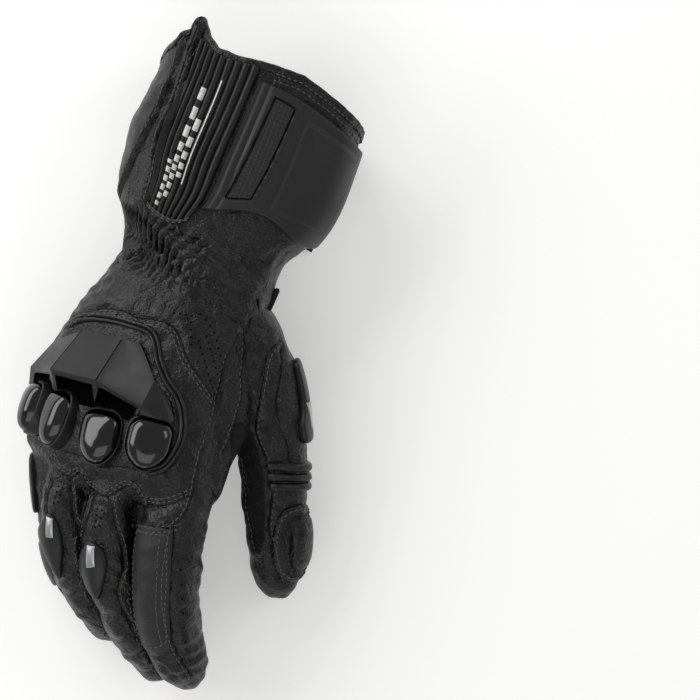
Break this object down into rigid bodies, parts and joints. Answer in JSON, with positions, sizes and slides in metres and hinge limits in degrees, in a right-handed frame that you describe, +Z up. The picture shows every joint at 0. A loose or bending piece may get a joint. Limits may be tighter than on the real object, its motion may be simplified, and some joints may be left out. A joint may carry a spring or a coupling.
{
  "type": "motorcycle glove",
  "caption": "Long-cuff leather racing glove for the right hand, with knuckle armour, ribbed cuff panel and closure flap, lying palm down.",
  "frame": {"origin": "on the surface that the glove lies on, under the middle of its box", "axes": "+X to the thumb side, +Y from the fingertips to the cuff opening, +Z up through the back of the hand"},
  "size_m": [0.1672, 0.324, 0.0775],
  "materials": {
    "leather": "grained, semi-matt",
    "accordion_leather": "smooth thin leather over elastic",
    "embossed_fabric": "embossed, matt",
    "flap_rubber": "moulded, satin",
    "ribbed_rubber": "fine moulded texture",
    "webbing": "woven tape",
    "wire": "polished wire",
    "shell_plastic": "satin moulded TPU",
    "cup_gloss": "high gloss in satin rims",
    "bright_inlay": "satin silver"
  },
  "bodies": {
    "root": {"cuff": "leather", "wrist_gather": "leather", "hand": "leather", "index_stall": "leather", "middle_stall": "leather", "ring_stall": "leather", "little_stall": "leather", "thumb_stall": "leather", "cuff_binding": "leather", "ribbed_panel": "accordion_leather", "closure_flap": "flap_rubber", "flap_insert": "ribbed_rubber", "closure_plate": "flap_rubber", "wrist_strap": "webbing", "strap_loop": "wire", "palm_patch": "leather", "palm_slider": "shell_plastic", "knuckle_surround": "leather", "knuckle_shell": "shell_plastic", "knuckle_cup_little": "cup_gloss", "knuckle_cup_ring": "cup_gloss", "knuckle_cup_middle": "cup_gloss", "knuckle_cup_index": "cup_gloss", "index_patch": "embossed_fabric", "middle_finger_pad": "shell_plastic", "middle_pad_inlay": "bright_inlay", "ring_finger_pad": "shell_plastic", "ring_pad_inlay": "bright_inlay", "little_slider_upper": "shell_plastic", "little_slider_lower": "shell_plastic", "thumb_slider": "shell_plastic", "thumb_slider_inlay": "bright_inlay", "thumb_rib_1": "leather", "thumb_rib_2": "leather", "thumb_rib_3": "leather", "thumb_pad": "leather"}
  },
  "joints": []
}
